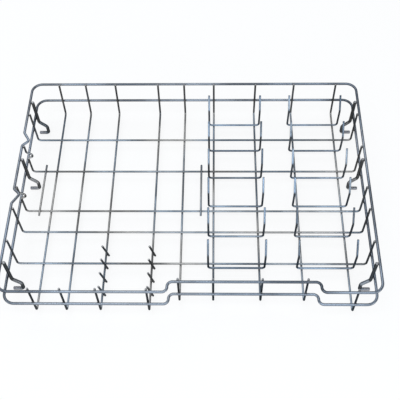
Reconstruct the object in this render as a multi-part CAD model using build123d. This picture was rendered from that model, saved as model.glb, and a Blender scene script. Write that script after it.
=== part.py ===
from build123d import *
import os
from math import cos, radians, sin, tan

# Wire basket of a compact dishwasher, without the wheels and baskets that clip onto it.
# Millimetres. X runs across, Y from the front to the back, Z up from the ground.

# Overall sizes
basket_width = 473.6  # over the upper rim
basket_depth = 342.6  # over the upper rim
upper_rim_height = 68.4  # middle of the rim wire above the ground
lower_rim_height = 34.4
floor_clearance = 7.0  # from the ground to the lowest wires of the floor
wall_lean = 1.4  # how far a wall leans out between the floor and the upper rim

# Wires
rim_wire = 3.6
mesh_wire = 2.8
hook_wire = 4.6
hook_flats = 4.4  # across the flats of a hook, which lies within the round of its stub
wire_sides = 12  # flats round a wire; a rim or mesh wire is as wide as its diameter across them
weld_gap = 0.05  # between two wires that are welded together
mesh_bend = 4.4  # radius in the middle of the wire
mesh_chords = 2  # straight pieces in a bend
tip_rise = 1.8  # ends of the wall wires above the middle of the upper rim

# Rims
corner_radius = 14.0
corner_chords = 5
recess_depth = 14.0  # how far the middle of the front stands back
recess_left_gap = 12.7  # from the recess's left step to the next floor wire
recess_right_gap = 15.4
step_radius = 6.5
step_chords = 3
notch_depth = 8.5  # the two notches in the left side of the upper rim
notch_start = 2.8  # distances along the rim from the cross wire beside the notch
notch_bottom = 11.0
notch_end = 25.2
notch_bend = 4.0
notch_chords = 2

# Plate tines: columns of U-shaped wires that stand on pairs of floor wires
tine_rows = 6
tine_span = 73.9  # between the two tines of a wire
tine_overhang = 6.7  # from a tine to the floor wire beside it
column_gap = 42.3  # between the two columns
tine_side_margin = 17.5  # from the right wall to the nearest tines
tine_back_margin = 25.4
tine_front_margin = 46.3
tine_kink_height = 33.8  # above the foot of the tine
tine_kink_forward = 1.8
tine_kink_bend = 8.0
tine_kink_chords = 1
tine_tip_height = 52.0
tine_tip_back = 12.5

# Bays of the floor on the left of the tines, which share the width that is left there
left_bays = (33.9, 38.8, 43.5, 62.2, 38.2, 36.6)

# Cross wires: the distance of each one behind a row of tines, from the second row on
cross_offsets = (20.2, 11.3, -8.0, 6.5, 6.4)
eye_height = 49.5  # middle, above the ground, of the eyes for a cup shelf in the left wall
eye_depth = 7.0
eye_width = 13.0
eye_flat = 5.0
eye_bend = 3.4

# Cup pins: short pins that lean against the floor wires on both sides of the widest bay
pin_rows = 4
pin_pitch = 19.9
pin_from_cross = 4.9  # from the last cross wire to the second row of pins
pin_length = 26.0
pin_foot = 3.3  # length of a pin below its weld
pin_lean = 14.0  # degrees

# Stop wires: two short wires across the second and third cross wires
stop_overhang = 9.5
stop_left_gap = 15.0  # from the first floor wire
stop_right_gap = 10.8  # from the first column of tines

# Axle hooks: they hang from both rims and end in stubs for wheels
hook_back_margin = 31.5
hook_from_cross = 22.5  # from the second cross wire to the hook in the middle
hook_front_margin = 34.7
hook_elbow_height = 26.8  # where a hook leaves the wall
hook_slope = 46.0  # degrees below level of the leg that runs inwards
hook_reach = 10.3  # from the elbow to the upright below that leg
hook_bend = 7.5  # radius of the elbow, and of the knee above the upright
hook_chords = 2
foot_bend = 3.4  # from the upright into the stub
foot_chords = 2
stub_lead = 0.6  # from the end of the bend to the round stub
stub_inset = 1.8  # from the middle of the upper rim to the end of the stub

# Levels
rim_x = (basket_width - rim_wire) / 2
rim_y = (basket_depth - rim_wire) / 2
floor_z = floor_clearance + mesh_wire / 2
layer = mesh_wire + weld_gap
cross_z = floor_z + layer
stop_z = cross_z + layer
tip_z = upper_rim_height + tip_rise
wall_seat = (rim_wire + mesh_wire) / 2 + weld_gap
hook_seat = (rim_wire + hook_flats) / 2 + weld_gap
pin_seat = mesh_wire / cos(radians(180 / wire_sides)) + weld_gap


def lean_in(height):
    """Distance that a wall stands further in at a height than at the upper rim."""
    return wall_lean * (upper_rim_height - height) / (upper_rim_height - floor_z)


# Plan of the floor
wall_x = rim_x - wall_seat
wall_y = rim_y - wall_seat
floor_x = wall_x - lean_in(floor_z)
floor_y = wall_y - lean_in(floor_z)

right_column = floor_x - tine_side_margin - tine_span
left_column = right_column - column_gap - tine_span
column_left_ends = {"a": left_column, "b": right_column}

bay_scale = (left_column + floor_x) / sum(left_bays)
bay_ends = [sum(left_bays[: count + 1]) * bay_scale for count in range(len(left_bays) - 1)]
floor_wire_x = [bay_end - floor_x for bay_end in bay_ends]
for column in column_left_ends.values():
    floor_wire_x += [column + tine_overhang, column + tine_span - tine_overhang]

first_recessed = len(left_bays) - 1
last_recessed = len(floor_wire_x) - 1
step_left = floor_wire_x[first_recessed - 1] - recess_left_gap
step_right = floor_wire_x[last_recessed - 1] + recess_right_gap

first_row_y = floor_y - tine_back_margin
last_row_y = tine_front_margin + recess_depth - floor_y
row_pitch = (first_row_y - last_row_y) / (tine_rows - 1)
row_y = [first_row_y - row_pitch * row for row in range(tine_rows)]
cross_y = [y + behind for y, behind in zip(row_y[1:], cross_offsets)]
shelf_y = cross_y[1:3]


def bend(before, corner, after, radius, chords):
    """Points of a bend: the ends of chords of the arc that touches both legs of a corner."""
    leg_in = (before - corner).normalized()
    leg_out = (after - corner).normalized()
    corner_angle = leg_in.get_angle(leg_out)
    half_angle = radians(corner_angle / 2)
    first = corner + leg_in * (radius / tan(half_angle))
    centre = corner + (leg_in + leg_out).normalized() * (radius / sin(half_angle))
    axis = Axis(centre, leg_out.cross(leg_in))
    turn = 180 - corner_angle
    return [centre + (first - centre).rotate(axis, turn * step / chords) for step in range(chords + 1)]


def route(corners, closed=False):
    """Path of a bent wire through corners, each one a point, a bend radius and a number of chords."""
    points = [Vector(*corner[0]) for corner in corners]
    stops = [points[0]]
    for index in range(1, len(points)):
        radius, chords = corners[index][1:]
        if radius == 0:
            stops.append(points[index])
        else:
            following = points[(index + 1) % len(points)]
            stops += bend(points[index - 1], points[index], following, radius, chords)
    return Wire.make_polygon(stops, close=closed)


def sharp(*points):
    """Corners with no bend radius."""
    return [(point, 0, 0) for point in points]


def bent(*points):
    """Corners with the bend radius of the mesh wires."""
    return [(point, mesh_bend, mesh_chords) for point in points]


def flat_sided(diameter):
    """Section of a wire with a flat on each side and a flat above and below."""
    return RegularPolygon(diameter / 2, wire_sides, major_radius=False, rotation=180 / wire_sides)


def bent_wire(path, section, across):
    """Wire with a section along a path; across is the direction that the section's first axis takes."""
    start = Plane(origin=path @ 0, x_dir=across, z_dir=path % 0)
    return sweep(start * section, path=path, transition=Transition.RIGHT)


def rim(height, notches):
    """Closed rim at a height, with its recessed front and, on the left, notches beside some wires."""
    x = rim_x - lean_in(height)
    y = rim_y - lean_in(height)
    bend_radius = min(step_radius, recess_depth / 2)
    corners = sharp((0, y, height))
    corners += [((x, side_y, height), corner_radius, corner_chords) for side_y in (y, -y)]
    for step_x, levels in ((step_right, (-y, recess_depth - y)), (step_left, (recess_depth - y, -y))):
        corners += [((step_x, level, height), bend_radius, step_chords) for level in levels]
    corners.append(((-x, -y, height), corner_radius, corner_chords))
    for wire_y, side in notches:
        offsets = [(notch_start, 0), (notch_bottom, notch_depth), (notch_end, 0)][::side]
        for along, inward in offsets:
            corners.append(((inward - x, wire_y + side * along, height), notch_bend, notch_chords))
    corners.append(((-x, y, height), corner_radius, corner_chords))
    return bent_wire(route(corners, closed=True), flat_sided(rim_wire), (0, 0, 1))


def floor_wire(number):
    """Wire of the floor that runs from the back wall to the front wall."""
    x = floor_wire_x[number - 1]
    recess = recess_depth if first_recessed <= number <= last_recessed else 0
    tip_y = wall_y - lean_in(tip_z)
    floor = bent((x, floor_y, floor_z), (x, recess - floor_y, floor_z))
    path = route(sharp((x, tip_y, tip_z)) + floor + sharp((x, recess - tip_y, tip_z)))
    return bent_wire(path, flat_sided(mesh_wire), (1, 0, 0))


def cross_wire(number):
    """Wire of the floor that runs from the left wall to the right wall."""
    y = cross_y[number - 1]
    foot_x = wall_x - lean_in(cross_z)
    tip_x = wall_x - lean_in(tip_z)
    corners = sharp((-tip_x, y, tip_z))
    if y in shelf_y:
        for rise, inward in ((eye_width, 0), (eye_flat, eye_depth), (-eye_flat, eye_depth), (-eye_width, 0)):
            z = eye_height + rise / 2
            corners.append(((lean_in(z) - wall_x + inward, y, z), eye_bend, mesh_chords))
    corners += bent((-foot_x, y, cross_z), (foot_x, y, cross_z)) + sharp((tip_x, y, tip_z))
    return bent_wire(route(corners), flat_sided(mesh_wire), (0, 1, 0))


def tine_wire(column, row):
    """U-shaped wire whose two ends are bent up into plate tines."""
    left = column_left_ends[column]
    right = left + tine_span
    y = row_y[row - 1]
    tip = (y + tine_tip_back, cross_z + tine_tip_height)
    kink = (y - tine_kink_forward, cross_z + tine_kink_height)
    left_kink, right_kink = [((x, *kink), tine_kink_bend, tine_kink_chords) for x in (left, right)]
    foot = bent((left, y, cross_z), (right, y, cross_z))
    corners = sharp((left, *tip)) + [left_kink] + foot + [right_kink] + sharp((right, *tip))
    return bent_wire(route(corners), flat_sided(mesh_wire), (1, 0, 0))


def cup_pin(number, row):
    """Pin that leans over a floor wire and is welded to the side of it."""
    along = Vector(-sin(radians(pin_lean)), 0, cos(radians(pin_lean)))
    aside = Vector(cos(radians(pin_lean)), 0, sin(radians(pin_lean)))
    y = cross_y[-1] - pin_from_cross + pin_pitch * (2 - row)
    weld = Vector(floor_wire_x[number - 1], y, floor_z) + aside * pin_seat
    foot = weld - along * pin_foot
    return bent_wire(route(sharp(foot, foot + along * pin_length)), flat_sided(mesh_wire), (0, 1, 0))


def stop_wire(x):
    """Short wire on top of the cross wires that carry the shelf eyes."""
    ends = [(x, shelf_y[0] + stop_overhang, stop_z), (x, shelf_y[-1] - stop_overhang, stop_z)]
    return bent_wire(route(sharp(*ends)), flat_sided(mesh_wire), (1, 0, 0))


def axle_hook(side, y):
    """Hook inside both rims that ends in a round stub pointing outwards; side is -1 on the left, 1 on the right."""
    stub_z = hook_wire / 2
    leg_x = rim_x - hook_seat
    elbow_x = leg_x - lean_in(hook_elbow_height)
    upright_x = elbow_x - hook_reach
    knee_z = hook_elbow_height - hook_reach * tan(radians(hook_slope))
    shoulder_x = upright_x + foot_bend + stub_lead
    corners = sharp((side * (leg_x - lean_in(tip_z)), y, tip_z))
    for x, z in ((elbow_x, hook_elbow_height), (upright_x, knee_z)):
        corners.append(((side * x, y, z), hook_bend, hook_chords))
    corners.append(((side * upright_x, y, stub_z), foot_bend, foot_chords))
    corners += sharp((side * shoulder_x, y, stub_z))
    shoulder = Plane(origin=(side * shoulder_x, y, stub_z), z_dir=(side, 0, 0))
    stub = extrude(shoulder * Circle(hook_wire / 2), rim_x - stub_inset - shoulder_x)
    return bent_wire(route(corners), flat_sided(hook_flats), (0, 1, 0)) + stub


nodes = {
    "upper_rim": rim(upper_rim_height, [(shelf_y[1], -1), (shelf_y[0], 1)]),
    "lower_rim": rim(lower_rim_height, []),
    "stop_wire_left": stop_wire(floor_wire_x[0] - stop_left_gap),
    "stop_wire_right": stop_wire(left_column - stop_right_gap),
}
for number in range(1, len(floor_wire_x) + 1):
    nodes[f"floor_wire_{number}"] = floor_wire(number)
for number in range(1, len(cross_y) + 1):
    nodes[f"cross_wire_{number}"] = cross_wire(number)
for column in column_left_ends:
    for row in range(1, tine_rows + 1):
        nodes[f"tine_wire_{column}{row}"] = tine_wire(column, row)
widest_bay = left_bays.index(max(left_bays))
for number in (widest_bay, widest_bay + 1):
    for row in range(1, pin_rows + 1):
        nodes[f"cup_pin_{number}_{row}"] = cup_pin(number, row)
hook_places = {
    "back": floor_y - hook_back_margin,
    "middle": shelf_y[0] - hook_from_cross,
    "front": hook_front_margin - floor_y,
}
for place, y in hook_places.items():
    nodes[f"axle_hook_left_{place}"] = axle_hook(-1, y)
    nodes[f"axle_hook_right_{place}"] = axle_hook(1, y)

os.makedirs("parts", exist_ok=True)
for name, solid in nodes.items():
    solid.label = name
    export_step(solid, f"parts/{name}.step")
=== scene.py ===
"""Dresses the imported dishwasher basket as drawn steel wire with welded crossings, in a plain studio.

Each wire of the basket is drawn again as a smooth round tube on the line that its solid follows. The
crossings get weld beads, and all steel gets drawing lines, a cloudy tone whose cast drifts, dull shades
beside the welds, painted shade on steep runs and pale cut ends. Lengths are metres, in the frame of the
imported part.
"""

import logging
import math
from abc import ABC, abstractmethod
from dataclasses import dataclass
from enum import Enum
from typing import Any, Iterator, Sequence

import bpy
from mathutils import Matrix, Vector

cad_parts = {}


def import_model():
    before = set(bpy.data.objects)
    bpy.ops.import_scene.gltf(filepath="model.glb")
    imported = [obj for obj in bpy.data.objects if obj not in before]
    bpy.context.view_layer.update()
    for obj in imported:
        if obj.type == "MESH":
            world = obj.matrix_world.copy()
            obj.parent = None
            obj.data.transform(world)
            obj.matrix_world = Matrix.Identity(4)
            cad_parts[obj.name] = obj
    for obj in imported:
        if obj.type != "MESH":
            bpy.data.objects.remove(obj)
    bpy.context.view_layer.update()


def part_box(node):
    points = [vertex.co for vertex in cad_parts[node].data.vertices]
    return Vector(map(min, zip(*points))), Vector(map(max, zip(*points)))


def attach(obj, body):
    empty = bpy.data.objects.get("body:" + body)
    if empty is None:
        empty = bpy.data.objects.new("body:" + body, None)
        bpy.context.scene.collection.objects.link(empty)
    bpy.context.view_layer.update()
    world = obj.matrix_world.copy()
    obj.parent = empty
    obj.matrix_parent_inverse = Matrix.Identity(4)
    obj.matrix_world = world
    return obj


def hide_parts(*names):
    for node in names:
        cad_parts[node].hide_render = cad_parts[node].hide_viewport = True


LOG = logging.getLogger("basket")
MM = 0.001
BODY = "root"
NOISE_MIDDLE = 0.5

Colour = tuple[float, float, float]
Span = tuple[float, float]


class Side(Enum):
    """Side of the basket, with the sign of its X."""

    LEFT = -1
    RIGHT = 1


class Place(Enum):
    """Place of an axle hook along a side wall."""

    BACK = "back"
    MIDDLE = "middle"
    FRONT = "front"


class Column(Enum):
    """Column of plate tines."""

    LEFT = "a"
    RIGHT = "b"


class Facing(Enum):
    """Direction from one welded wire to the other, with the direction that the bead lies along."""

    UP = ((0, 0, 1), (0, 1, 0))
    ACROSS = ((1, 0, 0), (0, 0, 1))
    BACKWARDS = ((0, 1, 0), (0, 0, 1))


class Sock:
    """Output of a node that takes part in Python expressions, each of which adds a Math node."""

    def __init__(self, graph: "Graph", socket: bpy.types.NodeSocket) -> None:
        """Keeps the tree's writer and the socket."""
        self.graph = graph
        self.socket = socket

    def out(self, name: str) -> "Sock":
        """Another output of the same node, by its name."""
        return Sock(self.graph, find_socket(self.socket.node.outputs, name))

    def _math(self, operation: str, first: Any, second: Any) -> "Sock":
        """A Math node on two values."""
        return self.graph.node("ShaderNodeMath", {"operation": operation}, {0: first, 1: second})

    def __add__(self, other: Any) -> "Sock":
        """Sum with a value on the right."""
        return self._math("ADD", self, other)

    def __radd__(self, other: Any) -> "Sock":
        """Sum with a number on the left."""
        return self._math("ADD", other, self)

    def __sub__(self, other: Any) -> "Sock":
        """Difference from a value on the right."""
        return self._math("SUBTRACT", self, other)

    def __rsub__(self, other: Any) -> "Sock":
        """Difference of a number on the left."""
        return self._math("SUBTRACT", other, self)

    def __mul__(self, other: Any) -> "Sock":
        """Product with a value on the right."""
        return self._math("MULTIPLY", self, other)

    def __rmul__(self, other: Any) -> "Sock":
        """Product with a number on the left."""
        return self._math("MULTIPLY", other, self)

    def __truediv__(self, other: Any) -> "Sock":
        """Quotient by a value on the right."""
        return self._math("DIVIDE", self, other)

    def __rtruediv__(self, other: Any) -> "Sock":
        """Quotient of a number on the left."""
        return self._math("DIVIDE", other, self)


def find_socket(sockets: Any, key: str | int) -> bpy.types.NodeSocket:
    """Finds a socket of a node.

    Args:
        sockets: The node's inputs or outputs.
        key: A place in the list, an identifier, or the name of a socket that is in use.

    Returns:
        The socket.
    """
    if isinstance(key, int):
        return sockets[key]
    for socket in sockets:
        if socket.identifier == key:
            return socket
    return next(socket for socket in sockets if socket.name == key and socket.enabled)


class Graph:
    """Writer of a node tree, for shaders and for geometry."""

    def __init__(self, tree: bpy.types.NodeTree) -> None:
        """Keeps the tree."""
        self.tree = tree

    def fill(self, node: bpy.types.Node, values: dict[str | int, Any]) -> None:
        """Gives sockets of a node what they need.

        Args:
            node: The node.
            values: Outputs of other nodes or plain values, by the socket's name, identifier or place.
        """
        for key, value in values.items():
            socket = find_socket(node.inputs, key)
            if isinstance(value, Sock):
                self.tree.links.new(value.socket, socket)
            else:
                socket.default_value = value

    def node(self, kind: str, settings: dict[str, Any] | None = None,
             values: dict[str | int, Any] | None = None) -> Sock:
        """Adds a node.

        Args:
            kind: The node's type.
            settings: Properties of the node, which are set first.
            values: What its sockets get, as fill takes it.

        Returns:
            The node's first output in use.
        """
        node = self.tree.nodes.new(kind)
        for name, setting in (settings or {}).items():
            setattr(node, name, setting)
        self.fill(node, values or {})
        return Sock(self, next((output for output in node.outputs if output.enabled), None))

    def attribute(self, name: str, output: str) -> Sock:
        """An attribute of the surface, as the output that fits its kind."""
        return self.node("ShaderNodeAttribute", {"attribute_name": name}).out(output)

    def smooth_step(self, value: Sock, span: Span) -> Sock:
        """A share that rises smoothly from 0 at the start of a span to 1 at its end."""
        values = {"Value": value, "From Min": span[0], "From Max": span[1]}
        return self.node("ShaderNodeMapRange", {"interpolation_type": "SMOOTHSTEP"}, values)

    def blend(self, share: Sock, first: Any, second: Any) -> Sock:
        """A colour between two colours."""
        values = {"Factor_Float": share, "A_Color": first, "B_Color": second}
        return self.node("ShaderNodeMix", {"data_type": "RGBA"}, values).out("Result_Color")


def opaque(colour: Colour) -> tuple[float, float, float, float]:
    """A colour with full alpha, as sockets take it."""
    return (*colour, 1.0)


def new_finish(name: str) -> tuple[bpy.types.Material, Graph, bpy.types.Node]:
    """Starts a finish.

    Args:
        name: Name of its material.

    Returns:
        The material, the writer of its tree and its Principled shader.
    """
    material = bpy.data.materials.new(name)
    material.use_nodes = True
    return material, Graph(material.node_tree), material.node_tree.nodes["Principled BSDF"]


@dataclass(frozen=True)
class DrawnSteel:
    """Finish of drawn steel wire, bent and welded."""

    name: str
    deep: Colour
    bright: Colour
    roughness: float
    cast_change: float = 0.03
    cast_scale: float = 9.0
    cast_seed: float = 7.8
    cast_detail: float = 1.0
    cast_span: Span = (0.4, 0.6)
    cloud_scale: float = 13.0
    cloud_seed: float = 5.2
    cloud_detail: float = 4.0
    cloud_share: float = 0.8
    tone_span: Span = (0.41, 0.59)
    line_scale: float = 7.0
    line_stretch: float = 3.0
    line_detail: float = 3.0
    line_depth: float = 0.05 * MM
    line_strength: float = 0.2
    line_roughness: float = 0.18
    # Painted shade: near-upright runs are darkened towards this colour, standing in for the dark reflections
    # they would show.
    steep: Colour = (0.047, 0.048, 0.048)
    painted_steep_shade_span: Span = (0.86, 0.99)
    painted_steep_shade_share: float = 0.85
    heat: Colour = (0.14, 0.13, 0.12)
    heat_span: Span = (1.8 * MM, 6.5 * MM)
    heat_share: float = 0.25
    heat_roughness: float = 0.1
    # A lighter colour on the axle stubs, from just past the foot bend out to the end.
    worn: Colour = (0.21, 0.21, 0.225)
    lightened_share: float = 0.85
    cut: Colour = (0.34, 0.34, 0.35)
    cut_span: Span = (0.62, 0.9)
    cut_share: float = 0.9
    cut_roughness: float = 0.05
    edge: Colour = (0.30, 0.33, 0.36)

    def material(self) -> bpy.types.Material:
        """Builds the finish.

        Returns:
            A metal that reads the wire's own attributes: around, along, the steepness that drives the painted
            shade on steep runs, girth, the share that lightens the stubs, and weld_distance.
        """
        material, graph, shader = new_finish(self.name)
        place = graph.node("ShaderNodeTexCoord").out("Object")
        lengthwise = graph.node("ShaderNodeCombineXYZ", None, {
            "Z": graph.attribute("along", "Fac") * self.line_stretch})
        on_wire = graph.node("ShaderNodeVectorMath", {"operation": "ADD"}, {
            0: graph.attribute("around", "Vector"), 1: lengthwise})
        lines = graph.node("ShaderNodeTexNoise", None, {
            "Vector": on_wire, "Scale": self.line_scale, "Detail": self.line_detail})
        cloud = graph.node("ShaderNodeTexNoise", {"noise_dimensions": "4D"}, {
            "Vector": place, "W": self.cloud_seed, "Scale": self.cloud_scale, "Detail": self.cloud_detail})
        drift = graph.node("ShaderNodeTexNoise", {"noise_dimensions": "4D"}, {
            "Vector": place, "W": self.cast_seed, "Scale": self.cast_scale, "Detail": self.cast_detail})
        cool, warm = ((1 + red, 1.0, 1 - red) for red in (-self.cast_change, self.cast_change))
        cast = graph.blend(graph.smooth_step(drift, self.cast_span), opaque(cool), opaque(warm))
        tone = graph.smooth_step(cloud * self.cloud_share + lines * (1 - self.cloud_share), self.tone_span)
        # Painted shade: the more upright a run, the more its colour goes to the dark steep colour.
        steep = graph.smooth_step(graph.attribute("steep", "Fac"), self.painted_steep_shade_span)
        heat = 1 - graph.smooth_step(graph.attribute("weld_distance", "Fac"), self.heat_span)
        # Share of the lighter stub colour.
        worn = graph.attribute("worn", "Fac")
        cut = 1 - graph.smooth_step(graph.attribute("girth", "Fac"), self.cut_span)

        colour = graph.blend(tone, opaque(self.deep), opaque(self.bright))
        colour = graph.node("ShaderNodeVectorMath", {"operation": "MULTIPLY"}, {0: colour, 1: cast})
        for share, shade in ((steep * self.painted_steep_shade_share, self.steep), (heat * self.heat_share, self.heat),
                             (worn * self.lightened_share, self.worn), (cut * self.cut_share, self.cut)):
            colour = graph.blend(share, colour, opaque(shade))
        rough = (self.roughness + (lines - NOISE_MIDDLE) * self.line_roughness + heat * self.heat_roughness
                 + cut * self.cut_roughness)
        relief = graph.node("ShaderNodeBump", None, {
            "Height": lines, "Strength": self.line_strength, "Distance": self.line_depth})
        graph.fill(shader, {"Base Color": colour, "Roughness": rough, "Normal": relief, "Metallic": 1.0,
                            "Specular Tint": opaque(self.edge)})
        return material


@dataclass(frozen=True)
class WeldSteel:
    """Finish of a weld bead: duller than the wire, with a fine ripple."""

    name: str
    deep: Colour = (0.10, 0.10, 0.10)
    bright: Colour = (0.24, 0.24, 0.25)
    roughness: float = 0.42
    ripple_scale: float = 900.0
    ripple_depth: float = 0.12 * MM
    ripple_strength: float = 0.5
    ripple_roughness: float = 0.3

    def material(self) -> bpy.types.Material:
        """Builds the finish.

        Returns:
            A metal on Object coordinates.
        """
        material, graph, shader = new_finish(self.name)
        place = graph.node("ShaderNodeTexCoord").out("Object")
        ripple = graph.node("ShaderNodeTexNoise", None, {"Vector": place, "Scale": self.ripple_scale})
        colour = graph.blend(ripple, opaque(self.deep), opaque(self.bright))
        rough = self.roughness + (ripple - NOISE_MIDDLE) * self.ripple_roughness
        relief = graph.node("ShaderNodeBump", None, {
            "Height": ripple, "Strength": self.ripple_strength, "Distance": self.ripple_depth})
        graph.fill(shader, {"Base Color": colour, "Roughness": rough, "Normal": relief, "Metallic": 1.0})
        return material


@dataclass(frozen=True)
class PaleFloor:
    """Finish of the studio floor: pale, matt, and white as the background of the picture."""

    name: str = "pale_floor"
    colour: Colour = (0.86, 0.86, 0.86)
    roughness: float = 0.9
    white: Colour = (1.0, 1.0, 1.0)
    white_share: float = 0.8

    def material(self) -> bpy.types.Material:
        """Builds the finish.

        Returns:
            A matt surface that, seen directly or in metal, partly shines white; the rest keeps shadows.
        """
        material, graph, shader = new_finish(self.name)
        graph.fill(shader, {"Base Color": opaque(self.colour), "Roughness": self.roughness})
        ray = graph.node("ShaderNodeLightPath")
        seen = ray.out("Is Camera Ray")
        for kind in ("Is Glossy Ray", "Is Transmission Ray"):
            seen = graph.node("ShaderNodeMath", {"operation": "MAXIMUM"}, {0: seen, 1: ray.out(kind)})
        white = graph.node("ShaderNodeEmission", None, {"Color": opaque(self.white), "Strength": 1.0})
        mixed = graph.node("ShaderNodeMixShader", None, {
            "Fac": seen * self.white_share, 1: Sock(graph, shader.outputs["BSDF"]), 2: white})
        graph.fill(material.node_tree.nodes["Material Output"], {"Surface": mixed})
        return material


@dataclass(frozen=True)
class NodeBox:
    """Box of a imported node."""

    low: Vector
    high: Vector

    @classmethod
    def of(cls, node: str) -> "NodeBox":
        """Reads the box of a node from the frame."""
        return cls(*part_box(node))

    @property
    def middle(self) -> Vector:
        """Middle of the box."""
        return (self.low + self.high) / 2


@dataclass(frozen=True)
class Gauge:
    """Thickness of a wire and the number of sides that draw it."""

    diameter: float
    sides: int

    @property
    def radius(self) -> float:
        """Half the thickness."""
        return self.diameter / 2


MESH_GAUGE = Gauge(2.8 * MM, 16)
RIM_GAUGE = Gauge(3.6 * MM, 20)
HOOK_GAUGE = Gauge(4.6 * MM, 20)


@dataclass(frozen=True)
class Corner:
    """Corner of a wire's path: the radius of its bend, and there the share of the thickness and of the
    lighter stub tone.
    """

    point: Vector
    bend: float = 0.0
    girth: float = 1.0
    worn: float = 0.0


@dataclass
class WirePath:
    """Middle line of a bent wire."""

    corners: list[Corner]
    closed: bool = False

    def softened(self, gauge: Gauge, edge_share: float = 0.4, steps: int = 3) -> "WirePath":
        """Rounds the edges of the cut ends.

        Args:
            gauge: The wire that follows the path.
            edge_share: Radius of a rounded edge, as a share of the wire's radius.
            steps: Straight pieces in that rounding.

        Returns:
            A path whose ends taper; a closed path stays as it is.
        """
        if self.closed:
            return self
        edge = edge_share * gauge.radius
        ends = []
        for end, inner in ((self.corners[0], self.corners[1]), (self.corners[-1], self.corners[-2])):
            inward = (inner.point - end.point).normalized()
            turns = [math.pi / 2 * step / steps for step in range(steps + 1)]
            ends.append([Corner(end.point + inward * edge * (1 - math.cos(turn)), 0.0,
                                1 - edge_share * (1 - math.sin(turn)), end.worn) for turn in turns])
        return WirePath(ends[0] + self.corners[1:-1] + ends[1][::-1])


@dataclass(frozen=True)
class Weld:
    """Weld between two crossing wires."""

    point: Vector
    facing: Facing
    radius: float


class Modifier:
    """Geometry Nodes tree that turns a mesh of marks into a finished piece."""

    def __init__(self, name: str, inputs: dict[str, str]) -> None:
        """Starts the tree.

        Args:
            name: Name of the tree.
            inputs: Kinds of its named inputs, apart from the geometry.
        """
        self.tree = bpy.data.node_groups.new(name, "GeometryNodeTree")
        self.graph = Graph(self.tree)
        self.tree.interface.new_socket("Geometry", in_out="INPUT", socket_type="NodeSocketGeometry")
        self.identifiers = {}
        for label, kind in inputs.items():
            socket = self.tree.interface.new_socket(label, in_out="INPUT", socket_type=kind)
            self.identifiers[label] = socket.identifier
        self.tree.interface.new_socket("Geometry", in_out="OUTPUT", socket_type="NodeSocketGeometry")
        self.source = self.graph.node("NodeGroupInput")

    def close(self, geometry: Sock) -> None:
        """Ends the tree in smooth, real faces of one material.

        Args:
            geometry: What the tree has made.
        """
        geometry = self.graph.node("GeometryNodeSetShadeSmooth", None, {"Geometry": geometry})
        geometry = self.graph.node("GeometryNodeRealizeInstances", None, {"Geometry": geometry})
        geometry = self.graph.node("GeometryNodeSetMaterial", None, {
            "Geometry": geometry, "Material": self.source.out("Material")})
        self.graph.node("NodeGroupOutput", None, {"Geometry": geometry})

    def named(self, name: str, data_type: str) -> Sock:
        """An attribute of the marks."""
        return self.graph.node("GeometryNodeInputNamedAttribute", {"data_type": data_type}, {"Name": name})

    def keep(self, geometry: Sock, name: str, data_type: str, value: Sock) -> Sock:
        """Stores a value on the points of a geometry."""
        return self.graph.node("GeometryNodeStoreNamedAttribute", {"data_type": data_type, "domain": "POINT"},
                               {"Geometry": geometry, "Name": name, "Value": value})

    def make(self, name: str, marks: bpy.types.Mesh, values: dict[str, Any]) -> bpy.types.Object:
        """Runs the tree on marks.

        Args:
            name: Name of the piece.
            marks: Points, and edges between them, with the attributes that the tree reads.
            values: What the tree's named inputs get.

        Returns:
            The piece, with a plain mesh and no modifier.
        """
        piece = bpy.data.objects.new(name, marks)
        bpy.context.scene.collection.objects.link(piece)
        modifier = piece.modifiers.new(self.tree.name, "NODES")
        modifier.node_group = self.tree
        for label, value in values.items():
            modifier[self.identifiers[label]] = value
        depsgraph = bpy.context.evaluated_depsgraph_get()
        mesh = bpy.data.meshes.new_from_object(
            piece.evaluated_get(depsgraph), preserve_all_data_layers=True, depsgraph=depsgraph)
        piece.modifiers.clear()
        piece.data = mesh
        mesh.name = name
        bpy.data.meshes.remove(marks)
        return piece


def marks_mesh(name: str, points: Sequence[Vector], edges: Sequence[tuple[int, int]],
               attributes: dict[str, tuple[str, Sequence[Any]]]) -> bpy.types.Mesh:
    """Makes a mesh of points for a tree to read.

    Args:
        name: Name of the mesh.
        points: Its points.
        edges: Its edges.
        attributes: For each attribute of the points, its data type and its values.

    Returns:
        The mesh.
    """
    mesh = bpy.data.meshes.new(name)
    mesh.from_pydata(points, edges, [])
    for label, (data_type, values) in attributes.items():
        layer = mesh.attributes.new(label, data_type, "POINT")
        field = "vector" if data_type == "FLOAT_VECTOR" else "value"
        for item, value in zip(layer.data, values):
            setattr(item, field, value)
    return mesh


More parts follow.
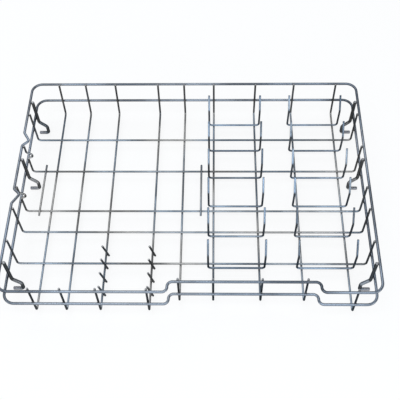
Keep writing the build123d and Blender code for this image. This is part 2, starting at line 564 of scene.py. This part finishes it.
class WireDrawer:
    """Draws round wire along bent paths."""

    def __init__(self, weld_marks: bpy.types.Object) -> None:
        """Builds the tree.

        Args:
            weld_marks: Points at the welds, which the finish shades by.
        """
        self.weld_marks = weld_marks
        self.modifier = Modifier("drawn_wire", {
            "Wire Radius": "NodeSocketFloat", "Wire Sides": "NodeSocketInt",
            "Bend Points": "NodeSocketInt", "Ring Spacing": "NodeSocketFloat",
            "Weld Marks": "NodeSocketObject", "Material": "NodeSocketMaterial"})
        self._grow()

    def _grow(self) -> None:
        """Writes the tree: bends the path, spaces its rings and sweeps a circle along it."""
        modifier, graph = self.modifier, self.modifier.graph
        source = modifier.source
        path = graph.node("GeometryNodeMeshToCurve", None, {"Mesh": source.out("Geometry")})
        path = graph.node("GeometryNodeFilletCurve", {"mode": "POLY"}, {
            "Curve": path, "Count": source.out("Bend Points"), "Radius": modifier.named("bend", "FLOAT"),
            "Limit Radius": True})
        here = graph.node("GeometryNodeInputPosition")
        following = graph.node("GeometryNodeOffsetPointInCurve", None, {"Offset": 1}).out("Point Index")
        ahead = graph.node("GeometryNodeFieldAtIndex", {"data_type": "FLOAT_VECTOR", "domain": "POINT"},
                           {"Value": here, "Index": following})
        stretch = graph.node("ShaderNodeVectorMath", {"operation": "DISTANCE"}, {0: here, 1: ahead})
        cuts = graph.node("ShaderNodeMath", {"operation": "FLOOR"}, {
            0: stretch.out("Value") / source.out("Ring Spacing")})
        path = graph.node("GeometryNodeSubdivideCurve", None, {"Curve": path, "Cuts": cuts})
        path = modifier.keep(path, "along", "FLOAT", graph.node("GeometryNodeSplineParameter").out("Length"))
        # How upright the path runs, stored for the painted shade on steep runs.
        rise = graph.node("ShaderNodeVectorMath", {"operation": "DOT_PRODUCT"}, {
            0: graph.node("GeometryNodeInputTangent"), 1: (0, 0, 1)}).out("Value")
        steep = graph.node("ShaderNodeMath", {"operation": "ABSOLUTE"}, {0: rise})
        path = modifier.keep(path, "steep", "FLOAT", steep)
        ring = graph.node("GeometryNodeCurvePrimitiveCircle", {"mode": "RADIUS"}, {
            "Resolution": source.out("Wire Sides"), "Radius": source.out("Wire Radius")})
        lie = graph.node("ShaderNodeVectorMath", {"operation": "NORMALIZE"}, {0: here})
        ring = modifier.keep(ring, "around", "FLOAT_VECTOR", lie)
        tube = graph.node("GeometryNodeCurveToMesh", None, {
            "Curve": path, "Profile Curve": ring, "Scale": modifier.named("girth", "FLOAT"),
            "Fill Caps": True})
        welds = graph.node("GeometryNodeObjectInfo", None, {"Object": source.out("Weld Marks")})
        nearest = graph.node("GeometryNodeProximity", {"target_element": "POINTS"}, {
            "Target": welds.out("Geometry")})
        tube = modifier.keep(tube, "weld_distance", "FLOAT", nearest.out("Distance"))
        modifier.close(tube)

    def draw(self, name: str, path: WirePath, gauge: Gauge, material: bpy.types.Material,
             bend_points: int = 8, ring_spacing: float = 4 * MM) -> bpy.types.Object:
        """Draws one wire.

        Args:
            name: Name of the piece.
            path: Middle line of the wire.
            gauge: Thickness of the wire.
            material: Its finish.
            bend_points: Points in each bend.
            ring_spacing: Greatest distance between two rings of the tube.

        Returns:
            The piece.
        """
        corners = path.softened(gauge).corners
        edges = [(index, index + 1) for index in range(len(corners) - 1)]
        if path.closed:
            edges.append((len(corners) - 1, 0))
        marks = marks_mesh(f"{name}_path", [corner.point for corner in corners], edges, {
            "bend": ("FLOAT", [corner.bend for corner in corners]),
            "girth": ("FLOAT", [corner.girth for corner in corners]),
            "worn": ("FLOAT", [corner.worn for corner in corners])})
        return self.modifier.make(name, marks, {
            "Wire Radius": gauge.radius, "Wire Sides": gauge.sides, "Bend Points": bend_points,
            "Ring Spacing": ring_spacing, "Weld Marks": self.weld_marks, "Material": material})


class WeldSetter:
    """Sets weld beads on the crossings."""

    subdivisions: int = 2

    def __init__(self, welds: Sequence[Weld]) -> None:
        """Builds the tree.

        Args:
            welds: The welds that get a bead.
        """
        self.welds = welds
        self.modifier = Modifier("weld_beads", {
            "Bead Reach": "NodeSocketFloat", "Bead Height": "NodeSocketFloat",
            "Material": "NodeSocketMaterial"})
        self._grow()

    def _grow(self) -> None:
        """Writes the tree: a flat bead at each mark, turned to its two wires and sized by the thinner."""
        modifier, graph = self.modifier, self.modifier.graph
        source = modifier.source
        turn = graph.node("FunctionNodeAxesToRotation", {"primary_axis": "Z", "secondary_axis": "X"}, {
            "Primary Axis": modifier.named("facing", "FLOAT_VECTOR"),
            "Secondary Axis": modifier.named("lengthwise", "FLOAT_VECTOR")})
        bead = graph.node("GeometryNodeMeshIcoSphere", None, {
            "Radius": 1.0, "Subdivisions": self.subdivisions})
        reach = modifier.named("thickness", "FLOAT") * source.out("Bead Reach")
        height = modifier.named("thickness", "FLOAT") * source.out("Bead Height")
        size = graph.node("ShaderNodeCombineXYZ", None, {"X": reach, "Y": reach, "Z": height})
        beads = graph.node("GeometryNodeInstanceOnPoints", None, {
            "Points": source.out("Geometry"), "Instance": bead, "Rotation": turn, "Scale": size})
        modifier.close(beads)

    def marks(self, name: str) -> bpy.types.Mesh:
        """Points at the welds, with the wires' directions and thickness."""
        return marks_mesh(name, [weld.point for weld in self.welds], [], {
            "facing": ("FLOAT_VECTOR", [weld.facing.value[0] for weld in self.welds]),
            "lengthwise": ("FLOAT_VECTOR", [weld.facing.value[1] for weld in self.welds]),
            "thickness": ("FLOAT", [weld.radius for weld in self.welds])})

    def build(self, material: bpy.types.Material, reach: float = 1.2,
              height: float = 0.5) -> bpy.types.Object:
        """Makes all beads as one piece.

        Args:
            material: Their finish.
            reach: Half the width of a bead, as a share of its wire's radius.
            height: Half its height, likewise.

        Returns:
            The piece.
        """
        return self.modifier.make("weld_beads", self.marks("weld_marks"), {
            "Bead Reach": reach, "Bead Height": height, "Material": material})


@dataclass(frozen=True)
class Walls:
    """The leaning walls of the basket, read from its two rims."""

    upper: NodeBox
    lower: NodeBox

    @classmethod
    def from_frame(cls) -> "Walls":
        """Reads both rims from the frame."""
        return cls(NodeBox.of("upper_rim"), NodeBox.of("lower_rim"))

    @property
    def slope(self) -> float:
        """How far a wall leans out for each metre of height."""
        return (self.upper.high.x - self.lower.high.x) / (self.upper.high.z - self.lower.high.z)

    @property
    def rim_levels(self) -> tuple[float, float]:
        """Heights of the middles of the rims."""
        return (self.upper.middle.z, self.lower.middle.z)

    def tip_z(self, box: NodeBox, gauge: Gauge) -> float:
        """Height of the middle of a wall wire's cut end, which leans with the wall."""
        return box.high.z - gauge.radius * self.slope

    def lean_in(self, height: float) -> float:
        """How much further in a wall stands at a height than at the upper rim."""
        return self.slope * (self.upper.middle.z - height)

    def rim_x(self, height: float) -> float:
        """X of the middle of a rim on the right."""
        return self.upper.high.x - RIM_GAUGE.radius - self.lean_in(height)

    def rim_y(self, height: float) -> float:
        """Y of the middle of a rim at the back."""
        return self.upper.high.y - RIM_GAUGE.radius - self.lean_in(height)


class WireGroup(ABC):
    """A group of wires with one thickness, finish and material slot."""

    gauge: Gauge = MESH_GAUGE
    slot: str = "mesh_steel"
    bend_points: int = 8

    @abstractmethod
    def paths(self) -> Iterator[tuple[str, WirePath]]:
        """Yields the name of each node and the path of its wire."""

    @abstractmethod
    def welds(self) -> Iterator[Weld]:
        """Yields the welds that join the wires to those that carry them."""

    def build(self, drawer: WireDrawer, material: bpy.types.Material) -> list[bpy.types.Object]:
        """Draws and dresses the wires.

        Args:
            drawer: Draws the tubes.
            material: Finish of the wires.

        Returns:
            One piece for each node, which it stands for.
        """
        pieces = []
        for node, path in self.paths():
            piece = drawer.draw(f"{node}_drawn", path, self.gauge, material, self.bend_points)
            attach(piece, BODY)
            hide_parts(node)
            pieces.append(piece)
        return pieces


@dataclass
class FloorWires(WireGroup):
    """Wires from the back wall over the floor to the front wall, the lowest layer."""

    walls: Walls
    count: int = 9
    bend: float = 4.4 * MM

    def x(self, number: int) -> float:
        """X of a wire."""
        return NodeBox.of(f"floor_wire_{number}").middle.x

    @property
    def level(self) -> float:
        """Height of the middles of the wires on the floor."""
        return NodeBox.of("floor_wire_1").low.z + self.gauge.radius

    def tip_y(self, number: int) -> tuple[float, float]:
        """Y of the two ends of a wire, back and front."""
        box = NodeBox.of(f"floor_wire_{number}")
        return (box.high.y - self.gauge.radius, box.low.y + self.gauge.radius)

    def paths(self) -> Iterator[tuple[str, WirePath]]:
        """Leads each wire down the back wall, over the floor and up the front wall.

        Yields:
            Each wire's node and path.
        """
        for number in range(1, self.count + 1):
            node = f"floor_wire_{number}"
            tip_z = self.walls.tip_z(NodeBox.of(node), self.gauge)
            lean = self.walls.slope * (tip_z - self.level)
            x = self.x(number)
            back, front = self.tip_y(number)
            yield node, WirePath([
                Corner(Vector((x, back, tip_z))), Corner(Vector((x, back - lean, self.level)), self.bend),
                Corner(Vector((x, front + lean, self.level)), self.bend), Corner(Vector((x, front, tip_z)))])

    def welds(self) -> Iterator[Weld]:
        """Joins the wires to both rims, at the back and at the front.

        Yields:
            Each weld.
        """
        for number in range(1, self.count + 1):
            for level in self.walls.rim_levels:
                lean = self.walls.lean_in(level)
                back, front = self.tip_y(number)
                for y, outward in ((back, 1), (front, -1)):
                    contact = y + outward * (self.gauge.radius - lean)
                    yield Weld(Vector((self.x(number), contact, level)), Facing.BACKWARDS, self.gauge.radius)


@dataclass
class CrossWires(WireGroup):
    """Wires from the left wall over the floor wires to the right wall; two have an eye for a cup shelf."""

    walls: Walls
    floor: FloorWires
    count: int = 5
    bend: float = 4.4 * MM
    eye_wires: tuple[int, ...] = (2, 3)
    eye_height: float = 49.5 * MM
    eye_depth: float = 7.0 * MM
    eye_width: float = 13.0 * MM
    eye_flat: float = 5.0 * MM
    eye_bend: float = 3.4 * MM

    def y(self, number: int) -> float:
        """Y of a wire."""
        return NodeBox.of(f"cross_wire_{number}").middle.y

    @property
    def level(self) -> float:
        """Height of the middles of the wires on the floor."""
        return NodeBox.of("cross_wire_1").low.z + self.gauge.radius

    @property
    def tip_x(self) -> float:
        """X of the right ends of the wires."""
        return NodeBox.of("cross_wire_1").high.x - self.gauge.radius

    def eye(self, y: float, tip_z: float) -> list[Corner]:
        """Bends the eye of a cup shelf into a left leg.

        Args:
            y: Y of the wire.
            tip_z: Height of the leg's end.

        Returns:
            The corners of the eye, from the top down.
        """
        corners = []
        for rise, inward in ((self.eye_width, 0.0), (self.eye_flat, self.eye_depth),
                             (-self.eye_flat, self.eye_depth), (-self.eye_width, 0.0)):
            z = self.eye_height + rise / 2
            wall = self.tip_x - self.walls.slope * (tip_z - z)
            corners.append(Corner(Vector((inward - wall, y, z)), self.eye_bend))
        return corners

    def paths(self) -> Iterator[tuple[str, WirePath]]:
        """Leads each wire down the left wall, over the floor and up the right wall.

        Yields:
            Each wire's node and path.
        """
        for number in range(1, self.count + 1):
            node = f"cross_wire_{number}"
            y = self.y(number)
            tip_z = self.walls.tip_z(NodeBox.of(node), self.gauge)
            foot_x = self.tip_x - self.walls.slope * (tip_z - self.level)
            eye = self.eye(y, tip_z) if number in self.eye_wires else []
            yield node, WirePath([
                Corner(Vector((-self.tip_x, y, tip_z))), *eye,
                Corner(Vector((-foot_x, y, self.level)), self.bend),
                Corner(Vector((foot_x, y, self.level)), self.bend), Corner(Vector((self.tip_x, y, tip_z)))])

    def welds(self) -> Iterator[Weld]:
        """Joins the wires to the floor wires and to both rims.

        Yields:
            Each weld.
        """
        middle = (self.level + self.floor.level) / 2
        for number in range(1, self.count + 1):
            y = self.y(number)
            for floor_number in range(1, self.floor.count + 1):
                yield Weld(Vector((self.floor.x(floor_number), y, middle)), Facing.UP, self.gauge.radius)
            for level in self.walls.rim_levels:
                contact = self.walls.rim_x(level) - RIM_GAUGE.radius
                for side in Side:
                    yield Weld(Vector((side.value * contact, y, level)), Facing.ACROSS, self.gauge.radius)


@dataclass
class Rims(WireGroup):
    """The two closed rims, set back at the front; the upper one has two notches on the left."""

    walls: Walls
    floor: FloorWires
    cross: CrossWires
    corner_radius: float = 14.0 * MM
    step_radius: float = 6.5 * MM
    step_wires: tuple[int, int] = (5, 8)
    step_gaps: tuple[float, float] = (12.7 * MM, 15.4 * MM)
    notch_bend: float = 4.0 * MM
    notch_depth: float = 8.5 * MM
    notch_reach: tuple[float, float, float] = (2.8 * MM, 11.0 * MM, 25.2 * MM)

    gauge = RIM_GAUGE
    slot = "rim_steel"
    bend_points = 12

    @property
    def recess(self) -> float:
        """How far the middle of the front stands back."""
        return self.floor.tip_y(self.step_wires[0])[1] - self.floor.tip_y(1)[1]

    def notches(self) -> Iterator[tuple[float, float]]:
        """Places both notches, from the front to the back.

        Yields:
            Y and depth of each corner.
        """
        depths = (0.0, self.notch_depth, 0.0)
        for number, behind in zip(reversed(self.cross.eye_wires), (-1, 1)):
            corners = list(zip(self.notch_reach, depths))[::behind]
            for reach, depth in corners:
                yield self.cross.y(number) + behind * reach, depth

    def path(self, level: float, notched: bool) -> WirePath:
        """Path of a rim, from the middle of the back round by the right.

        Args:
            level: Height of the rim.
            notched: Whether it has the notches on the left.

        Returns:
            The closed path.
        """
        x, y = self.walls.rim_x(level), self.walls.rim_y(level)
        inner = self.recess - y
        left_step = self.floor.x(self.step_wires[0]) - self.step_gaps[0]
        right_step = self.floor.x(self.step_wires[1]) + self.step_gaps[1]
        plan = [(0.0, y, 0.0), (x, y, self.corner_radius), (x, -y, self.corner_radius)]
        plan += [(right_step, -y, self.step_radius), (right_step, inner, self.step_radius)]
        plan += [(left_step, inner, self.step_radius), (left_step, -y, self.step_radius)]
        plan.append((-x, -y, self.corner_radius))
        if notched:
            plan += [(depth - x, place, self.notch_bend) for place, depth in self.notches()]
        plan.append((-x, y, self.corner_radius))
        return WirePath([Corner(Vector((px, py, level)), bend) for px, py, bend in plan], closed=True)

    def paths(self) -> Iterator[tuple[str, WirePath]]:
        """Yields the upper rim, with its notches, and the lower rim."""
        upper, lower = self.walls.rim_levels
        yield "upper_rim", self.path(upper, notched=True)
        yield "lower_rim", self.path(lower, notched=False)

    def welds(self) -> Iterator[Weld]:
        """Yields nothing: the wires of the walls bring their own welds to the rims."""
        return iter(())


@dataclass
class PlateTines(WireGroup):
    """U-shaped wires whose ends are bent up, and then back, into plate tines."""

    floor: FloorWires
    rows: int = 6
    foot_bend: float = 4.4 * MM
    kink_height: float = 33.8 * MM
    kink_forward: float = 1.8 * MM
    kink_bend: float = 8.0 * MM
    tip_height: float = 52.0 * MM
    tip_back: float = 12.5 * MM

    def wires(self) -> Iterator[tuple[str, NodeBox, float]]:
        """Reads the wires from the frame.

        Yields:
            Each wire's node, its box and the Y of its foot.
        """
        for column in Column:
            for row in range(1, self.rows + 1):
                node = f"tine_wire_{column.value}{row}"
                box = NodeBox.of(node)
                yield node, box, box.low.y + self.gauge.radius + self.kink_forward

    def paths(self) -> Iterator[tuple[str, WirePath]]:
        """Leads each wire down the left tine, along the foot and up the right tine.

        Yields:
            Each wire's node and path.
        """
        for node, box, y in self.wires():
            foot_z = box.low.z + self.gauge.radius
            tine = ((y + self.tip_back, self.tip_height, 0.0),
                    (y - self.kink_forward, self.kink_height, self.kink_bend), (y, 0.0, self.foot_bend))
            left, right = box.low.x + self.gauge.radius, box.high.x - self.gauge.radius
            yield node, WirePath([
                Corner(Vector((x, place, foot_z + rise)), bend)
                for x, order in ((left, 1), (right, -1)) for place, rise, bend in tine[::order]])

    def welds(self) -> Iterator[Weld]:
        """Joins each foot to the two floor wires under it.

        Yields:
            Each weld.
        """
        for _, box, y in self.wires():
            middle = (box.low.z + self.gauge.radius + self.floor.level) / 2
            for number in range(1, self.floor.count + 1):
                if box.low.x < self.floor.x(number) < box.high.x:
                    yield Weld(Vector((self.floor.x(number), y, middle)), Facing.UP, self.gauge.radius)


@dataclass
class StopWires(WireGroup):
    """Two short straight wires across the cross wires that have the eyes."""

    cross: CrossWires

    def paths(self) -> Iterator[tuple[str, WirePath]]:
        """Leads a wire straight from the back to the front on each side.

        Yields:
            Each wire's node and path.
        """
        for side in Side:
            node = f"stop_wire_{side.name.lower()}"
            box = NodeBox.of(node)
            yield node, WirePath([
                Corner(Vector((box.middle.x, y, box.middle.z))) for y in (box.high.y, box.low.y)])

    def welds(self) -> Iterator[Weld]:
        """Joins each wire to the two cross wires under it.

        Yields:
            Each weld.
        """
        for _, path in self.paths():
            start = path.corners[0].point
            for number in self.cross.eye_wires:
                middle = (start.z + self.cross.level) / 2
                yield Weld(Vector((start.x, self.cross.y(number), middle)), Facing.UP, self.gauge.radius)


@dataclass
class CupPins(WireGroup):
    """Short pins that lean over the floor wires on both sides of the widest bay."""

    floor: FloorWires
    wires: tuple[int, int] = (3, 4)
    rows: int = 4
    lean: float = math.radians(14.0)

    def pins(self) -> Iterator[tuple[str, int, Vector, Vector]]:
        """Reads the pins from the frame.

        Yields:
            Each pin's node, the number of its floor wire, its foot and its tip.
        """
        beside, above = self.gauge.radius * math.cos(self.lean), self.gauge.radius * math.sin(self.lean)
        for number in self.wires:
            for row in range(1, self.rows + 1):
                node = f"cup_pin_{number}_{row}"
                box = NodeBox.of(node)
                foot = Vector((box.high.x - beside, box.middle.y, box.low.z + above))
                tip = Vector((box.low.x + beside, box.middle.y, box.high.z - above))
                yield node, number, foot, tip

    def paths(self) -> Iterator[tuple[str, WirePath]]:
        """Yields the straight path of each pin, from its tip to its foot."""
        for node, _, foot, tip in self.pins():
            yield node, WirePath([Corner(tip), Corner(foot)])

    def welds(self) -> Iterator[Weld]:
        """Joins each pin to the side of its floor wire.

        Yields:
            Each weld.
        """
        for _, number, foot, _ in self.pins():
            contact = self.floor.x(number) + self.gauge.radius
            yield Weld(Vector((contact, foot.y, self.floor.level)), Facing.ACROSS, self.gauge.radius)


@dataclass
class AxleHooks(WireGroup):
    """Hooks inside both rims that turn back outwards into the stubs of wheel axles."""

    walls: Walls
    slope: float = math.radians(46.0)
    elbow_height: float = 26.8 * MM
    reach: float = 10.3 * MM
    bend: float = 7.5 * MM
    foot_bend: float = 3.4 * MM
    lighten_start: float = 1.4 * MM

    gauge = HOOK_GAUGE
    slot = "hook_steel"
    bend_points = 12

    def leg_x(self, height: float) -> float:
        """Distance of a leg's middle from the middle of the basket, where it lies against both rims."""
        return self.walls.rim_x(height) - RIM_GAUGE.radius - self.gauge.radius

    def hooks(self) -> Iterator[tuple[str, Side, NodeBox]]:
        """Reads the hooks from the frame.

        Yields:
            Each hook's node, side and box.
        """
        for side in Side:
            for place in Place:
                node = f"axle_hook_{side.name.lower()}_{place.value}"
                yield node, side, NodeBox.of(node)

    def paths(self) -> Iterator[tuple[str, WirePath]]:
        """Leads each hook down its leg, inwards to the knee, down to the foot and outwards along the stub.

        Yields:
            Each hook's node and path.
        """
        for node, side, box in self.hooks():
            tip_z = self.walls.tip_z(box, self.gauge)
            stub_z = box.low.z + self.gauge.radius
            elbow_x = self.leg_x(self.elbow_height)
            upright_x = elbow_x - self.reach
            knee_z = self.elbow_height - self.reach * math.tan(self.slope)
            # Where the lighter tone of the stub starts.
            lighten_x = upright_x + self.foot_bend + self.lighten_start
            end_x = max(abs(box.low.x), abs(box.high.x))
            plan = ((self.leg_x(tip_z), tip_z, 0.0, 0.0), (elbow_x, self.elbow_height, self.bend, 0.0),
                    (upright_x, knee_z, self.bend, 0.0), (upright_x, stub_z, self.foot_bend, 0.0),
                    (lighten_x, stub_z, 0.0, 1.0), (end_x, stub_z, 0.0, 1.0))
            yield node, WirePath([Corner(Vector((side.value * x, box.middle.y, z)), bend, worn=worn)
                                  for x, z, bend, worn in plan])

    def welds(self) -> Iterator[Weld]:
        """Joins each leg to both rims.

        Yields:
            Each weld.
        """
        for _, side, box in self.hooks():
            for level in self.walls.rim_levels:
                contact = self.walls.rim_x(level) - RIM_GAUGE.radius
                point = Vector((side.value * contact, box.middle.y, level))
                yield Weld(point, Facing.ACROSS, MESH_GAUGE.radius)


@dataclass(frozen=True)
class SoftBox:
    """Rectangular studio lamp."""

    name: str
    place: tuple[float, float, float]
    size: tuple[float, float]
    power: float
    colour: Colour = (1.0, 1.0, 1.0)
    aim: tuple[float, float, float] = (0.0, 0.0, 0.0)

    def build(self) -> bpy.types.Object:
        """Hangs the lamp and turns it to its aim.

        Returns:
            The lamp.
        """
        data = bpy.data.lights.new(self.name, "AREA")
        data.shape = "RECTANGLE"
        data.size, data.size_y = self.size
        data.energy = self.power
        data.color = self.colour
        lamp = bpy.data.objects.new(self.name, data)
        lamp.location = self.place
        lamp.rotation_euler = (Vector(self.aim) - Vector(self.place)).to_track_quat("-Z", "Y").to_euler()
        lamp.visible_camera = False
        bpy.context.scene.collection.objects.link(lamp)
        return lamp


@dataclass
class Studio:
    """Pale floor, soft lamps, even surroundings and the camera."""

    floor_half: float = 25.0
    floor_gap: float = 0.2 * MM
    surroundings: Colour = (0.80, 0.84, 0.90)
    surroundings_strength: float = 0.56
    camera_place: tuple[float, float, float] = (0.0336, -0.5910, 0.8855)
    camera_turn: tuple[float, float, float] = (34.24, 1.01, 0.74)
    focal_length: float = 68.05
    sensor: float = 36.0
    lamps: tuple[SoftBox, ...] = (
        SoftBox("front_top_box", (0.0, -0.8, 2.05), (2.4, 1.0), 21.0, (0.9, 0.96, 1.0)),
        SoftBox("back_top_box", (-0.5, 1.15, 1.8), (2.4, 1.3), 17.0, (0.95, 0.98, 1.0)),
        SoftBox("front_box", (0.0, -2.2, 1.0), (3.0, 1.2), 21.0, (0.84, 0.93, 1.0)),
        SoftBox("left_low_box", (-1.9, -1.25, 0.4), (1.0, 0.6), 8.0),
        SoftBox("right_low_box", (1.9, -1.25, 0.4), (1.0, 0.6), 8.0),
    )

    def floor(self) -> bpy.types.Object:
        """Lays the floor just under the basket.

        Returns:
            The floor.
        """
        half, z = self.floor_half, -self.floor_gap
        corners = [(-half, -half, z), (half, -half, z), (half, half, z), (-half, half, z)]
        mesh = bpy.data.meshes.new("studio_floor")
        mesh.from_pydata(corners, [], [range(len(corners))])
        mesh.materials.append(PaleFloor().material())
        floor = bpy.data.objects.new("studio_floor", mesh)
        bpy.context.scene.collection.objects.link(floor)
        return floor

    def world(self) -> None:
        """Gives the studio even, slightly cool surroundings."""
        world = bpy.data.worlds.new("studio")
        world.use_nodes = True
        background = world.node_tree.nodes["Background"]
        background.inputs["Color"].default_value = opaque(self.surroundings)
        background.inputs["Strength"].default_value = self.surroundings_strength
        bpy.context.scene.world = world

    def camera(self) -> bpy.types.Object:
        """Sets the camera at the photograph's viewing angle.

        Returns:
            The camera.
        """
        data = bpy.data.cameras.new("camera")
        data.lens = self.focal_length
        data.sensor_width = self.sensor
        camera = bpy.data.objects.new("camera", data)
        camera.location = self.camera_place
        camera.rotation_euler = [math.radians(angle) for angle in self.camera_turn]
        bpy.context.scene.collection.objects.link(camera)
        bpy.context.scene.camera = camera
        return camera

    def build(self) -> None:
        """Sets up the whole studio."""
        self.floor()
        self.world()
        for lamp in self.lamps:
            lamp.build()
        self.camera()
        bpy.context.scene.view_settings.view_transform = "Standard"


RIM_STEEL = DrawnSteel("rim_steel_drawn", (0.088, 0.1, 0.118), (0.23, 0.26, 0.305), 0.26)
MESH_STEEL = DrawnSteel("mesh_steel_drawn", (0.105, 0.115, 0.125), (0.3, 0.322, 0.347), 0.28,
                        cast_change=0.1)
TINE_STEEL = DrawnSteel("tine_steel_drawn", (0.092, 0.114, 0.142), (0.255, 0.316, 0.392), 0.28,
                        cast_change=0.05)
HOOK_STEEL = DrawnSteel("hook_steel_drawn", (0.112, 0.12, 0.13), (0.28, 0.298, 0.322), 0.32,
                        cast_change=0.06)
WELD_STEEL = WeldSteel("weld_steel")


def main() -> None:
    """Builds the wires, the welds and the studio, and reports each piece."""
    logging.basicConfig(level=logging.INFO, format="%(name)s: %(message)s")
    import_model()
    walls = Walls.from_frame()
    floor = FloorWires(walls)
    cross = CrossWires(walls, floor)
    steels = (RIM_STEEL, MESH_STEEL, TINE_STEEL, HOOK_STEEL, WELD_STEEL)
    finishes = {steel.name: steel.material() for steel in steels}
    groups = [
        (Rims(walls, floor, cross), RIM_STEEL), (floor, MESH_STEEL), (cross, MESH_STEEL),
        (PlateTines(floor), TINE_STEEL), (StopWires(cross), MESH_STEEL), (CupPins(floor), MESH_STEEL),
        (AxleHooks(walls), HOOK_STEEL)]
    setter = WeldSetter([weld for group, _ in groups for weld in group.welds()])
    weld_marks = bpy.data.objects.new("weld_marks", setter.marks("weld_marks"))
    drawer = WireDrawer(weld_marks)
    for group, finish in groups:
        for piece in group.build(drawer, finishes[finish.name]):
            LOG.info("%s: %d faces", piece.name, len(piece.data.polygons))
    beads = setter.build(finishes[WELD_STEEL.name])
    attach(beads, BODY)
    LOG.info("%s: %d beads, %d faces", beads.name, len(setter.welds), len(beads.data.polygons))
    bpy.data.objects.remove(weld_marks)
    Studio().build()


if __name__ == "__main__":
    main()
